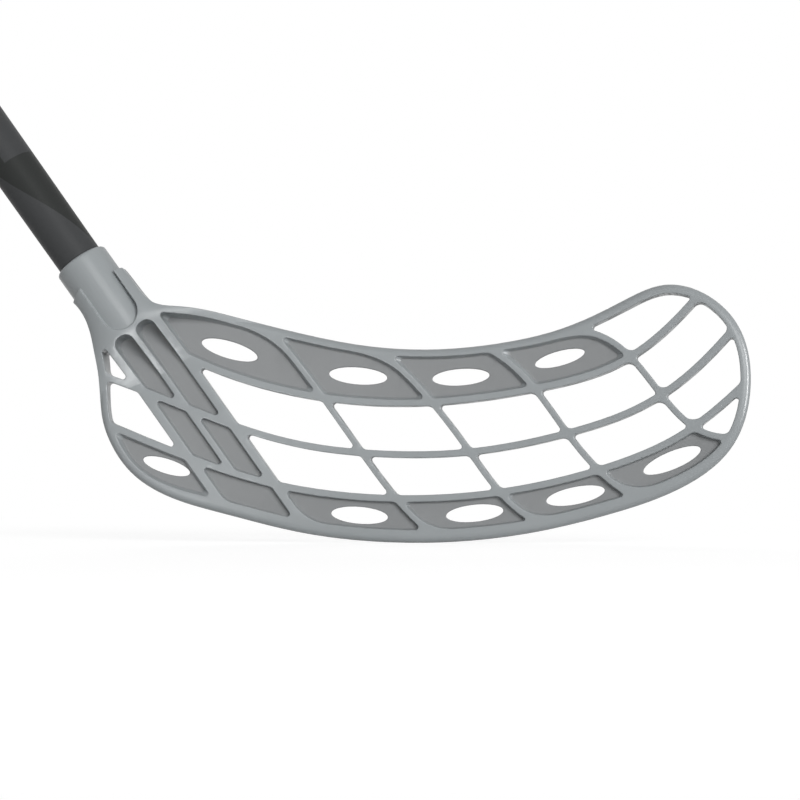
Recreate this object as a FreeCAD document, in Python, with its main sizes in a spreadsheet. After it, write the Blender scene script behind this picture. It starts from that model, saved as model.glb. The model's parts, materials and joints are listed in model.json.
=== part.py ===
"""Floorball stick: a hooked openwork blade moulded with its hosel, a tapered tube shaft and a wrapped grip.

Frame: the blade stands on the floor as in play. +X runs from the heel to the toe, +Z is up, and the
forehand face looks along -Y. The origin is the lowest point of the sole. All sizes are millimetres.
"""
import FreeCAD, Part
import Sketcher
import math
import os

Vector = FreeCAD.Vector
doc = FreeCAD.newDocument("floorball_stick")

# Driving sizes, one cell each
SIZES = [
    ("toe_reach", 139.8, "sole's lowest point to the tip of the toe"),
    ("heel_reach", 138.6, "sole's lowest point back to the heel"),
    ("waist_height", 83.6, "lowest place of the top edge"),
    ("toe_height", 109.6, "top of the toe"),
    ("sole_radius", 280.0, "rocker of the sole"),
    ("hook_radius", 760.0, "bend of the blade in plan"),
    ("hook_start", 66.5, "where the bend starts, behind the sole's lowest point"),
    ("blade_thickness", 7.6, "ribs and rim, front to back"),
    ("cell_draft", 1.1, "how far the closed cells' walls lean in from the rim to the web"),
    ("sole_draft", 0.5, "the same in the row along the sole and under the shaft"),
    ("web_thickness", 2.0, "thin floor of the closed cells"),
    ("heel_rim", 3.7, "rim's width at the heel"),
    ("sole_rim", 5.6, "rim's width along the sole"),
    ("toe_rim", 3.9, "rim's width round the toe"),
    ("crown_rim", 4.2, "rim's width where the toe's top meets the top edge"),
    ("top_rim", 3.4, "rim's width along the top edge"),
    ("bead_radius", 3.2, "rounding of the rim's outer edges"),
    ("long_rib_width", 2.9, "ribs that run from heel to toe"),
    ("cross_rib_width", 2.6, "slanted ribs of the lattice"),
    ("heel_rib_width", 3.7, "ribs that carry on the shaft's line"),
    ("slot_rib_width", 2.6, "rib between the two neck slots"),
    ("heel_rib_pitch", 11.8, "spacing of the three ribs under the shaft"),
    ("tight_corner", 1.2, "sharp corners of the cells"),
    ("wide_corner", 3.4, "blunt corners of the cells"),
    ("slot_head", 4.2, "rounded heads of the neck slots"),
    ("top_sweep", 48.0, "swept corner of the top row's cells"),
    ("sole_sweep", 26.0, "swept corner of the sole row's cells"),
    ("oval_length", 25.4, "long axis of the oval holes"),
    ("oval_height", 7.5, "short axis of the oval holes"),
    ("lie_angle", 54.5, "shaft to floor, degrees"),
    ("axis_foot", 58.7, "where the shaft's axis meets the floor, behind the sole's lowest point"),
    ("neck_length", 48.0, "along the axis, from the waist's level to the hosel's mouth"),
    ("hosel_radius", 12.0, "outside of the socket tube"),
    ("mouth_round", 1.4, "rounding of the socket's mouth"),
    ("socket_depth", 32.0, "how deep the shaft sits"),
    ("wing_start", 14.0, "mouth to the wings' upper ends"),
    ("wing_step", 0.9, "how far the wings stand proud of the tube"),
    ("tongue_length", 38.0, "mouth to the nose of the bare tongue"),
    ("tongue_width", 16.2, "bare tongue of the tube between the wings"),
    ("tongue_offset", 1.8, "tongue's middle, off the shaft's axis on the toe's side"),
    ("horn_rise", 2.0, "how far the heel's wing runs up to a point beside the tongue"),
    ("slot_start", 39.2, "mouth to the heads of the neck slots"),
    ("parting_step", 0.2, "how far the neck's sides stay inside the blade's edge"),
    ("neck_run", 58.0, "along the axis, over which the neck thins to the blade"),
    ("shaft_length", 960.0, "tube, end to end"),
    ("shaft_radius", 13.0, "upper part of the shaft"),
    ("shaft_tip_radius", 10.0, "end of the shaft in the socket"),
    ("shaft_wall", 1.5, "laminate"),
    ("taper_length", 520.0, "socket mouth to the end of the taper"),
    ("glue_gap", 0.25, "glue line round the shaft in the socket"),
    ("cap_flange", 4.0, "butt cap above the shaft's end"),
    ("cap_plug_length", 22.0, "butt cap inside the shaft"),
    ("cap_round", 1.8, "rounding of the butt cap"),
    ("fit_clearance", 0.1, "sliding fits and wraps"),
    ("grip_length", 300.0, "wrapped length below the shaft's end"),
    ("grip_wall", 1.8, "cushioned wrap"),
    ("grip_foot_wall", 0.6, "wrap's end, pared down under the finishing tape"),
    ("grip_cap_cover", 2.2, "wrap past the shaft's end, over the cap's side"),
    ("tape_width", 20.0, "finishing tape at the foot of the wrap"),
    ("tape_wall", 0.4, "finishing tape"),
    ("screw_depth", 20.0, "mouth to the blade screw"),
    ("screw_radius", 1.5, "blade screw's shank"),
    ("screw_length", 8.0, "blade screw under its head"),
    ("screw_point", 2.0, "blade screw's conical end"),
    ("screw_head_radius", 3.0, "blade screw's head"),
    ("screw_head_height", 1.8, "blade screw's head"),
    ("screw_seat", 1.0, "wall left under the screw's head"),
]
sheet = doc.addObject("Spreadsheet::Sheet", "Sizes")
for row, (alias, value, note) in enumerate(SIZES, start=1):
    sheet.set("A%d" % row, note)
    sheet.set("B%d" % row, str(value))
    sheet.setAlias("B%d" % row, alias)
doc.recompute()


def size(alias):
    """Value of one cell of the sheet."""
    return float(sheet.get(alias))


def total(formula):
    """Value of a sum of aliases and numbers, such as "shaft_length - grip_length"."""
    known = {alias for alias, value, note in SIZES}
    result = 0.0
    sign = 1
    for word in formula.split():
        if word in ("+", "-"):
            sign = 1 if word == "+" else -1
        else:
            result += sign * (size(word) if word in known else float(word))
    return result


def cells(formula):
    """The same sum in the form that ties a property to the sheet."""
    known = {alias for alias, value, note in SIZES}
    return " ".join("Sizes." + word if word in known else word for word in formula.split())


def bind(item, **formulas):
    """Ties properties of a document object to sums of the sheet's cells."""
    for name, formula in formulas.items():
        item.setExpression(name, cells(formula))


# The two reference frames of the blade: the floor frame and the shaft's own frame
lie = math.radians(size("lie_angle"))
down_axis = Vector(math.cos(lie), 0, -math.sin(lie))
across_axis = Vector(math.sin(lie), 0, math.cos(lie))
mouth_reach = size("waist_height") / math.sin(lie) + size("neck_length")
mouth = Vector(-size("axis_foot"), 0, 0) - down_axis * mouth_reach
shaft_turn = FreeCAD.Rotation(Vector(0, 1, 0), size("lie_angle") - 90)
reach_through = 60.0        # half depth of every tool that cuts right through the blade


def blade_point(along, up):
    """Place on the blade: share of the toe's or heel's reach, and share of the waist's height."""
    reach = size("toe_reach") if along > 0 else size("heel_reach")
    return Vector(along * reach, 0, up * size("waist_height"))


def toe_point(along, up):
    """Place on the toe: share of the toe's reach and of the toe's height."""
    return Vector(along * size("toe_reach"), 0, up * size("toe_height"))


def sole_point(along):
    """Place on the rocker arc under a share of the reach."""
    radius = size("sole_radius")
    x = blade_point(along, 0).x
    return Vector(x, 0, radius - math.sqrt(radius ** 2 - x ** 2))


def neck_point(down, across):
    """Place in the shaft's frame: down from the mouth along the axis, and across it."""
    return mouth + down_axis * down + across_axis * across


def smooth(points):
    """One smooth curve through the points."""
    curve = Part.BSplineCurve()
    curve.interpolate(Points=points)
    return curve


def beside(curve, distance, count=14):
    """Curve that runs beside another at a distance, given as a function of the share of its length."""
    first = curve.FirstParameter
    span = curve.LastParameter - first
    points = []
    for step in range(count + 1):
        share = step / count
        at = first + span * share
        side = curve.tangent(at)[0].cross(Vector(0, 1, 0))
        points.append(curve.value(at) + side * distance(share))
    return smooth(points)


def stretches(curve, count):
    """Edges that follow a curve in a number of equal stretches."""
    first = curve.FirstParameter
    step = (curve.LastParameter - first) / count
    return [curve.toShape(first + step * number, first + step * (number + 1)) for number in range(count)]


def flat_face(edges):
    """Plane face inside a closed run of edges."""
    return Part.Face(Part.Wire(Part.__sortEdges__(edges)))


def line(start, end):
    return Part.makeLine(start, end)


def keep(name, shape):
    """Document object that holds a shape worked out here."""
    item = doc.addObject("Part::Feature", name)
    item.Shape = shape
    return item


def through(name, source):
    """Document object that carries a face through the whole depth of the blade."""
    item = doc.addObject("Part::Extrusion", name)
    item.Base = source
    item.DirMode = "Custom"
    item.Dir = Vector(0, 1, 0)
    item.LengthFwd = reach_through
    item.LengthRev = reach_through
    item.Solid = True
    return item


def join(kind, name, base, tool):
    """Boolean of two document objects."""
    item = doc.addObject("Part::" + kind, name)
    item.Base = base
    item.Tool = tool
    return item


# Blade outline, from the left wing round the heel, the sole and the toe to the right wing
hosel_radius = size("hosel_radius")
wing_start = size("wing_start")
left_wing = neck_point(wing_start, -hosel_radius - size("wing_step"))
right_wing = neck_point(wing_start, hosel_radius + 2 * size("wing_step"))
outline_curve = smooth([
    left_wing,
    neck_point(25.0, -12.8),
    neck_point(34.7, -16.3),
    neck_point(44.4, -20.9),
    neck_point(62.6, -31.8),
    neck_point(74.0, -34.9),
    neck_point(88.0, -34.9),
    neck_point(103.0, -29.6),
    sole_point(-0.60),
    sole_point(-0.36),
    sole_point(-0.12),
    sole_point(0.12),
    sole_point(0.36),
    sole_point(0.60),
    sole_point(0.77),
    toe_point(0.943, 0.366),
    toe_point(1.0, 0.603),
    toe_point(0.943, 0.881),
    toe_point(0.762, 1.0),
    toe_point(0.628, 0.938),
    blade_point(0.447, 1.097),
    blade_point(0.264, 1.029),
    blade_point(0.058, 1.0),
    blade_point(-0.173, 1.026),
    blade_point(-0.362, 1.089),
    blade_point(-0.553, 1.168),
    neck_point(47.3, 29.8),
    neck_point(40.0, 21.2),
    neck_point(35.0, 16.3),
    neck_point(26.0, 14.3),
    right_wing,
])
outline = keep("outline", flat_face(stretches(outline_curve, 16) + [line(right_wing, left_wing)]))
outline_prism = through("outline_prism", outline)


# Plates: the hooked blade's own thickness, and the thin web at its middle
plate_drop = 30.0           # plates start below the sole
plate_rise = 250.0          # plates' height
plate_tail = 260.0          # straight part behind the hook
hook_sweep = 24.0           # degrees of bend that every plate covers


def hooked_plate(name, thickness):
    """Upright plate, straight behind the hook's start and bent forward along one arc beyond it."""
    half = size(thickness) / 2
    hook_x = -size("hook_start")
    straight = doc.addObject("Part::Box", name + "_straight")
    straight.Length = plate_tail
    straight.Height = plate_rise
    bind(straight, Width=thickness)
    straight.Placement.Base = Vector(hook_x - plate_tail, -half, -plate_drop)
    rounds = []
    for side, sign in (("outer", "+"), ("inner", "-")):
        drum = doc.addObject("Part::Cylinder", name + "_" + side)
        drum.Height = plate_rise
        drum.Angle = hook_sweep
        drum.setExpression("Radius", "Sizes.hook_radius %s Sizes.%s / 2" % (sign, thickness))
        centre = Vector(hook_x, -size("hook_radius"), -plate_drop)
        drum.Placement = FreeCAD.Placement(centre, FreeCAD.Rotation(Vector(0, 0, 1), 90 - hook_sweep))
        rounds.append(drum)
    bend = join("Cut", name + "_bend", rounds[0], rounds[1])
    return join("Fuse", name, straight, bend)


plate = hooked_plate("plate", "blade_thickness")
web = hooked_plate("web", "web_thickness")
flat_rim = join("Common", "flat_rim", outline_prism, plate)
doc.recompute()

# Rim with both outer edges rounded to a bead
rim = doc.addObject("Part::Fillet", "rim")
rim.Base = flat_rim
bead = size("bead_radius")
bead_edges = []
for number, edge in enumerate(flat_rim.Shape.Edges, start=1):
    middle = edge.valueAt((edge.FirstParameter + edge.LastParameter) / 2)
    upright = edge.BoundBox.YLength > 0.9 * edge.Length
    in_neck = (middle - mouth).dot(down_axis) < wing_start + 0.1
    on_seam = edge.BoundBox.XLength < 0.001
    if not (upright or in_neck or on_seam):
        bead_edges.append((number, bead, bead))
rim.Edges = bead_edges
doc.recompute()

# Lattice: the inner edge of the rim, three long ribs, three ribs under the shaft, four cross ribs
rim_stations = [
    (0.0, "heel_rim"), (0.12, "heel_rim"), (0.18, "sole_rim"), (0.46, "sole_rim"), (0.52, "toe_rim"),
    (0.61, "toe_rim"), (0.66, "crown_rim"), (0.70, "crown_rim"), (0.75, "top_rim"), (1.0, "top_rim"),
]


def rim_width_at(share):
    """Rim's width at a share of the outline, even between the stations."""
    for (start, before), (end, after) in zip(rim_stations, rim_stations[1:]):
        if share <= end:
            blend = (share - start) / (end - start)
            return size(before) + (size(after) - size(before)) * blend
    return size(rim_stations[-1][1])


inner_curve = beside(outline_curve, rim_width_at, 64)
inner_ends = [inner_curve.value(inner_curve.LastParameter), inner_curve.value(inner_curve.FirstParameter)]
inner_face = flat_face(stretches(inner_curve, 16) + [line(*inner_ends)])

heel_rib_shift = 1.4
heel_ribs = [heel_rib_shift + step * size("heel_rib_pitch") for step in (-1, 0, 1)]
heel_rib_head = 20.0
heel_rib_foot = 150.0

upper_rib = smooth([
    neck_point(60.6, heel_ribs[2]),
    blade_point(-0.276, 0.748),
    blade_point(0.065, 0.725),
    blade_point(0.371, 0.790),
    blade_point(0.654, 0.943),
    blade_point(0.741, 1.052),
    blade_point(0.876, 1.289),
])
middle_rib = smooth([
    blade_point(-1.056, 0.905),
    blade_point(-0.705, 0.692),
    blade_point(-0.360, 0.508),
    blade_point(-0.165, 0.465),
    blade_point(0.170, 0.467),
    blade_point(0.466, 0.560),
    blade_point(0.745, 0.748),
    blade_point(0.856, 0.898),
    blade_point(1.006, 1.180),
])
lower_rib = smooth([
    blade_point(-1.035, 0.665),
    blade_point(-0.726, 0.453),
    blade_point(-0.453, 0.308),
    blade_point(-0.062, 0.229),
    blade_point(0.258, 0.260),
    blade_point(0.556, 0.371),
    blade_point(0.838, 0.586),
    blade_point(0.963, 0.766),
    blade_point(1.027, 0.873),
])
# each cross rib runs from the top rim over its crossings with the three long ribs to the sole
cross_ribs = [
    smooth([blade_point(*place) for place in places])
    for places in (
        [(-0.470, 1.132), (-0.286, 0.748), (-0.165, 0.465), (-0.057, 0.229), (0.084, 0.008)],
        [(-0.118, 1.002), (0.053, 0.725), (0.170, 0.467), (0.262, 0.260), (0.438, 0.066)],
        [(0.198, 1.022), (0.368, 0.790), (0.466, 0.560), (0.559, 0.371), (0.733, 0.190)],
        [(0.484, 1.088), (0.657, 0.943), (0.746, 0.748), (0.838, 0.586), (1.013, 0.560)],
    )
]


def strip(curve, width):
    """Flat band of an even width along a curve."""
    half = size(width) / 2
    left = beside(curve, lambda share: half)
    right = beside(curve, lambda share: -half)
    ends = []
    for at in ("FirstParameter", "LastParameter"):
        ends.append(line(left.value(getattr(left, at)), right.value(getattr(right, at))))
    return flat_face([left.toShape(), right.toShape()] + ends)


def neck_band(head, foot, left, right):
    """Flat band along the shaft's line, between two distances down and two across."""
    corners = [(head, left), (head, right), (foot, right), (foot, left), (head, left)]
    return Part.Face(Part.makePolygon([neck_point(*corner) for corner in corners]))


def down_to(curve, across, count=400):
    """How far down the shaft's line at a distance across meets a curve."""
    span = curve.LastParameter - curve.FirstParameter
    points = [curve.value(curve.FirstParameter + span * step / count) - mouth for step in range(count + 1)]
    nearest = min(points, key=lambda point: abs(point.dot(across_axis) - across))
    return nearest.dot(down_axis)


half_heel_rib = size("heel_rib_width") / 2
half_slot_rib = size("slot_rib_width") / 2
bands = [strip(rib, "long_rib_width") for rib in (upper_rib, middle_rib, lower_rib)]
bands += [strip(rib, "cross_rib_width") for rib in cross_ribs]
for across in (heel_ribs[0], heel_ribs[2]):
    bands.append(neck_band(heel_rib_head, heel_rib_foot, across - half_heel_rib, across + half_heel_rib))
slot_rib_foot = down_to(lower_rib, heel_ribs[1])
bands.append(neck_band(heel_rib_head, slot_rib_foot, heel_ribs[1] - half_slot_rib, heel_ribs[1] + half_slot_rib))
bands.append(neck_band(0.0, size("slot_start"), heel_ribs[0], heel_ribs[2]))

smallest_cell = 15.0        # square millimetres, below which a scrap between bands stays solid
cell_faces = [face for face in inner_face.cut(bands).Faces if face.Area > smallest_cell]


def is_left_of(curve, point):
    """True where a point lies on the left of a curve, seen from the front."""
    nearest = curve.parameter(point)
    ahead = curve.tangent(nearest)[0]
    return ahead.cross(point - curve.value(nearest)).y < 0


def zone_of(point):
    """Which stretch of the blade a cell lies in, from heel to toe."""
    across = (point - mouth).dot(across_axis)
    if across < heel_ribs[0]:
        return "heel"
    if across < heel_ribs[2]:
        return "neck"
    return "toe" if is_left_of(cross_ribs[-1], point) else "body"


def row_of(point):
    """Which row of the lattice a cell lies in, from the sole up."""
    if not is_left_of(lower_rib, point):
        return "sole"
    if not is_left_of(middle_rib, point):
        return "lower"
    return "top" if is_left_of(upper_rib, point) else "upper"


toe_softening = 1.2         # how much rounder the lower row's blunt corners get towards the toe
smallest_setback = 0.02     # below which two edges already meet smoothly
square_angle = math.pi / 2
edge_use = 0.9              # share of a cell's edge that its two corners may take up together


def corner_radius(zone, row, centre, corner, angle):
    """Rounding of one corner of a cell, by its place and by the angle between its edges."""
    below = corner.z < centre.z
    if zone == "neck" and abs(angle - square_angle) < math.radians(10):
        return size("slot_head")
    if angle < square_angle:
        return size("tight_corner")
    if zone == "body" and row == "top" and not below:
        return size("top_sweep")
    if row == "sole" and zone != "toe" and below:
        return size("sole_sweep")
    if row == "lower" and below:
        share = max(corner.x / size("toe_reach"), 0.0)
        return size("wide_corner") * (1 + toe_softening * share ** 3)
    return size("wide_corner")


class Side:
    """One edge of a cell, walked in the direction of the cell's outline."""

    def __init__(self, edge):
        self.edge = edge
        self.length = edge.Length
        self.backward = edge.Orientation == "Reversed"

    def parameter(self, distance):
        """Parameter at a distance walked from the start."""
        walked = self.length - distance if self.backward else distance
        return self.edge.getParameterByLength(walked)

    def point(self, distance):
        return self.edge.valueAt(self.parameter(distance))

    def heading(self, distance):
        ahead = self.edge.tangentAt(self.parameter(distance))
        return ahead * -1 if self.backward else ahead

    def between(self, start, end):
        """The stretch of the edge between two walked distances."""
        ends = sorted((self.parameter(start), self.parameter(end)))
        return self.edge.Curve.toShape(*ends)


def corner_blend(start, start_heading, end, end_heading):
    """Near-circular curve from one point and heading to another."""
    turn = start_heading.getAngle(end_heading)
    radius = start.distanceToPoint(end) / (2 * math.sin(turn / 2))
    handle = 4 / 3 * math.tan(turn / 4) * radius
    curve = Part.BezierCurve()
    curve.setPoles([start, start + start_heading * handle, end - end_heading * handle, end])
    return curve.toShape()


def rounded_cell(face):
    """Face of one cell with its corners rounded."""
    centre = face.CenterOfMass
    zone = zone_of(centre)
    row = row_of(centre)
    sides = [Side(edge) for edge in face.OuterWire.OrderedEdges]
    nexts = sides[1:] + sides[:1]
    setbacks = []
    for side, following in zip(sides, nexts):
        turn = side.heading(side.length).getAngle(following.heading(0))
        corner = following.point(0)
        radius = corner_radius(zone, row, centre, corner, math.pi - turn)
        setback = radius * math.tan(turn / 2)
        setbacks.append(setback if setback > smallest_setback else 0.0)
    for number, side in enumerate(sides):
        taken = setbacks[number - 1] + setbacks[number]
        excess = taken / (edge_use * side.length)
        if excess > 1:
            setbacks[number - 1] /= excess
            setbacks[number] /= excess
    edges = []
    for number, (side, following) in enumerate(zip(sides, nexts)):
        edges.append(side.between(setbacks[number - 1], side.length - setbacks[number]))
        start = side.length - setbacks[number]
        end = setbacks[number]
        if setbacks[number]:
            edges.append(corner_blend(side.point(start), side.heading(start),
                                      following.point(end), following.heading(end)))
    return flat_face(edges)


def hook_slope(x):
    """Slope of the hooked middle surface in plan, and its set-back from the straight part."""
    radius = size("hook_radius")
    past_start = max(x + size("hook_start"), 0.0)
    rise = math.sqrt(radius ** 2 - past_start ** 2)
    return past_start / rise, radius - rise


def laid_on_hook(wire, middle):
    """Wire drawn in the floor frame, laid on the plane that touches the hooked surface at a cell's middle."""
    slope, depth = hook_slope(middle.x)
    onto_plane = FreeCAD.Matrix()
    onto_plane.A21 = -slope
    onto_plane.A24 = slope * middle.x - depth
    return wire.transformGeometry(onto_plane)


def hook_normal(middle):
    slope, depth = hook_slope(middle.x)
    return Vector(slope, 1, 0).normalize()


def square_cut(face):
    """Tool that carries a cell's face through the blade, square to the hooked surface."""
    middle = face.CenterOfMass
    reach = hook_normal(middle) * reach_through
    drawn = Part.Face(laid_on_hook(face.OuterWire, middle))
    return drawn.translated(reach * -1).extrude(reach * 2)


def drawn_in(wire, middle, directions, inset):
    """Wire drawn in by an even amount, for a cell whose sides run in two given directions."""
    first, second = directions
    spread = abs(first.cross(second).y)
    places = [point - middle for point in wire.discretize(80)]
    along = [place.cross(second).y / first.cross(second).y for place in places]
    beside_it = [place.cross(first).y / second.cross(first).y for place in places]
    shares = [1 - 2 * inset / (spread * (max(run) - min(run))) for run in (along, beside_it)]
    turn = FreeCAD.Matrix(first.x, 0, second.x, 0, 0, 1, 0, 0, first.z, 0, second.z, 0, 0, 0, 0, 1)
    stretch = FreeCAD.Matrix(shares[0], 0, 0, 0, 0, 1, 0, 0, 0, 0, shares[1], 0, 0, 0, 0, 1)
    to_middle = FreeCAD.Matrix()
    to_middle.move(middle * -1)
    back = FreeCAD.Matrix()
    back.move(middle)
    return wire.transformGeometry(back * turn * stretch * turn.inverse() * to_middle)


def drafted_cut(face, directions, draft):
    """Tool of a closed cell, whose walls lean in from both faces towards the middle of the blade."""
    middle = face.CenterOfMass
    normal = hook_normal(middle)
    half = size("blade_thickness") / 2
    lean = size(draft) * half / (half - size("web_thickness") / 2)
    rim_wire = laid_on_hook(face.OuterWire, middle)
    waist_wire = laid_on_hook(drawn_in(face.OuterWire, middle, directions, lean), middle)
    sections = [rim_wire.translated(normal * offset) for offset in (-reach_through, -half)]
    sections.append(waist_wire)
    sections += [rim_wire.translated(normal * offset) for offset in (half, reach_through)]
    return Part.makeLoft(sections, True, True)


def sides_of(zone, row, point):
    """The two directions that a closed cell's sides follow."""
    if zone == "neck":
        return across_axis, down_axis
    rib = upper_rib if row == "top" else lower_rib
    along = rib.tangent(rib.parameter(point))[0]
    nearest = min(cross_ribs, key=lambda rib: rib.value(rib.parameter(point)).distanceToPoint(point))
    return along, nearest.tangent(nearest.parameter(point))[0]


def oval(along, up, share, lean):
    """Oval face at a place on the blade, with a share of the full size and a lean in degrees."""
    edge = Part.Ellipse(Vector(0, 0, 0), share * size("oval_length") / 2, share * size("oval_height") / 2).toShape()
    edge.rotate(Vector(0, 0, 0), Vector(1, 0, 0), 90)
    edge.rotate(Vector(0, 0, 0), Vector(0, 1, 0), -lean)
    edge.translate(blade_point(along, up))
    return Part.Face(Part.Wire(edge))


open_cells = []
closed_cells = []
for face in cell_faces:
    zone = zone_of(face.CenterOfMass)
    row = row_of(face.CenterOfMass)
    lattice_open = zone == "body" and row in ("lower", "upper")
    heel_open = zone == "heel" and row != "sole"
    rounded = rounded_cell(face)
    if zone == "toe" or lattice_open or heel_open:
        open_cells.append(square_cut(rounded))
    else:
        draft = "sole_draft" if zone == "neck" or (zone == "body" and row == "sole") else "cell_draft"
        closed_cells.append(drafted_cut(rounded, sides_of(zone, row, face.CenterOfMass), draft))

# one oval hole in the thin floor of each closed cell but the narrow ones under the shaft
ovals = [
    square_cut(oval(*place))
    for place in (
        (-0.583, 1.002, 1.0, -16.7), (-0.178, 0.865, 1.0, -5.0),
        (0.142, 0.855, 0.97, 3.6), (0.444, 0.946, 0.85, 14.7),
        (-0.778, 0.396, 0.84, -17.3), (-0.173, 0.142, 0.97, -4.5), (0.183, 0.153, 0.97, 6.1),
        (0.488, 0.243, 0.98, 11.6), (0.773, 0.420, 0.99, 23.2),
    )
]
openings = keep("openings", Part.makeCompound(open_cells + ovals))
recess_prisms = keep("recess_prisms", Part.makeCompound(closed_cells))
recesses = join("Cut", "recesses", recess_prisms, web)
doc.recompute()

# Neck: the socket tube, and a swell that thins from the tube down to the blade
def round_bar(name, radius, head, foot):
    """Cylinder on the shaft's axis between two distances down from the mouth."""
    bar = doc.addObject("Part::Cylinder", name)
    bind(bar, Radius=radius)
    bar.setExpression("Height", "%s - (%s)" % (cells(foot), cells(head)))
    bar.Placement = FreeCAD.Placement(neck_point(total(foot), 0), shaft_turn)
    return bar


half_blade = size("blade_thickness") / 2
full_swell = size("hosel_radius") + size("wing_step") - half_blade
# each station: share of the neck's run, centre and half width across, and share of the full swell
stations = [
    (-0.14, 1.0, 14.6, 1.0),
    (0.0, 1.0, 14.6, 1.0),
    (0.14, 0.7, 15.5, 1.0),
    (0.28, 1.2, 18.5, 1.0),
    (0.42, 2.9, 25.3, 0.96),
    (0.56, 7.2, 34.5, 0.62),
    (0.70, 12.3, 43.8, 0.23),
    (0.84, 17.2, 52.0, 0.0),
    (1.0, 22.0, 60.0, -0.16),
]
rings = []
for number, (share, across, half_width, fullness) in enumerate(stations):
    ring = doc.addObject("Part::Ellipse", "neck_ring_%d" % number)
    ring.MajorRadius = half_width
    ring.MinorRadius = half_blade + full_swell * fullness
    down = wing_start + share * size("neck_run")
    ring.Placement = FreeCAD.Placement(neck_point(down, across), shaft_turn)
    rings.append(ring)
swell = doc.addObject("Part::Loft", "neck_swell")
swell.Sections = rings
swell.Solid = True
swell.Ruled = False
neck_curve = beside(outline_curve, lambda share: size("parting_step"), 64)
neck_ends = [neck_curve.value(neck_curve.LastParameter), neck_curve.value(neck_curve.FirstParameter)]
tongue_half = size("tongue_width") / 2
horn_tip = neck_point(wing_start - size("horn_rise"), size("tongue_offset") - tongue_half)
neck_top = [line(neck_ends[0], horn_tip), line(horn_tip, neck_ends[1])]
neck_outline = keep("neck_outline", flat_face(stretches(neck_curve, 16) + neck_top))
neck_prism = through("neck_prism", neck_outline)
trimmed_swell = join("Common", "trimmed_swell", swell, neck_prism)

# bare tongue of the tube, open between the wings on both faces
tongue_slot = doc.addObject("Part::Box", "tongue_slot")
bind(tongue_slot, Length="tongue_width", Height="tongue_length")
tongue_slot.Width = 2 * reach_through
nose_down = size("tongue_length") - tongue_half
tongue_corner = neck_point(nose_down, size("tongue_offset") - tongue_half) - Vector(0, reach_through, 0)
tongue_slot.Placement = FreeCAD.Placement(tongue_corner, shaft_turn)
tongue_nose = doc.addObject("Part::Cylinder", "tongue_nose")
tongue_nose.setExpression("Radius", "Sizes.tongue_width / 2")
tongue_nose.Height = 2 * reach_through
nose_centre = neck_point(nose_down, size("tongue_offset")) - Vector(0, reach_through, 0)
tongue_nose.Placement = FreeCAD.Placement(nose_centre, FreeCAD.Rotation(Vector(1, 0, 0), -90))
tongue_prism = join("Fuse", "tongue_prism", tongue_slot, tongue_nose)
tube_core = round_bar("tube_core", "hosel_radius", "0 - wing_start", "tongue_length + tongue_width")
tongue_tool = join("Cut", "tongue_tool", tongue_prism, tube_core)
wings = join("Cut", "wings", trimmed_swell, tongue_tool)
tube_bar = round_bar("tube_bar", "hosel_radius", "0", "tongue_length + wing_step")
doc.recompute()
tube = doc.addObject("Part::Fillet", "tube")
tube.Base = tube_bar
top_edges = [
    number for number, edge in enumerate(tube_bar.Shape.Edges, start=1)
    if edge.isClosed() and (edge.CenterOfMass - mouth).Length < 0.01
]
tube.Edges = [(number, size("mouth_round"), size("mouth_round")) for number in top_edges]
doc.recompute()

# Blade: rim, wings and tube in one moulding, with its cells, its socket and the screw's hole cut in
solid_blade = doc.addObject("Part::MultiFuse", "solid_blade")
solid_blade.Shapes = [rim, wings, tube]
lattice_blade = join("Cut", "lattice_blade", solid_blade, openings)
ribbed_blade = join("Cut", "ribbed_blade", lattice_blade, recesses)
socket = doc.addObject("Part::Cylinder", "socket")
bind(socket, Radius="shaft_tip_radius + glue_gap", Height="socket_depth + wing_start")
socket_floor = neck_point(size("socket_depth"), 0)
socket.Placement = FreeCAD.Placement(socket_floor, shaft_turn)
socketed_blade = join("Cut", "socketed_blade", ribbed_blade, socket)

# the screw goes in square to the axis, from the backhand side
outward = FreeCAD.Rotation(Vector(1, 0, 0), -90)
screw_axis_point = neck_point(size("screw_depth"), 0)
head_seat = total("shaft_tip_radius + glue_gap + screw_seat")


def screw_drill(name, radius, start, height):
    """Cylinder on the screw's axis, from a distance off the shaft's axis outwards."""
    drill = doc.addObject("Part::Cylinder", name)
    bind(drill, Radius=radius, Height=height)
    drill.Placement = FreeCAD.Placement(screw_axis_point + Vector(0, start, 0), outward)
    return drill


screw_hole = screw_drill("screw_hole", "screw_radius + fit_clearance", 0.0, "hosel_radius + hosel_radius")
head_hole = screw_drill("head_hole", "screw_head_radius + fit_clearance", head_seat, "hosel_radius")
screw_holes = join("Fuse", "screw_holes", screw_hole, head_hole)
blade = join("Cut", "blade", socketed_blade, screw_holes)
blade.Label = "blade"


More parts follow.
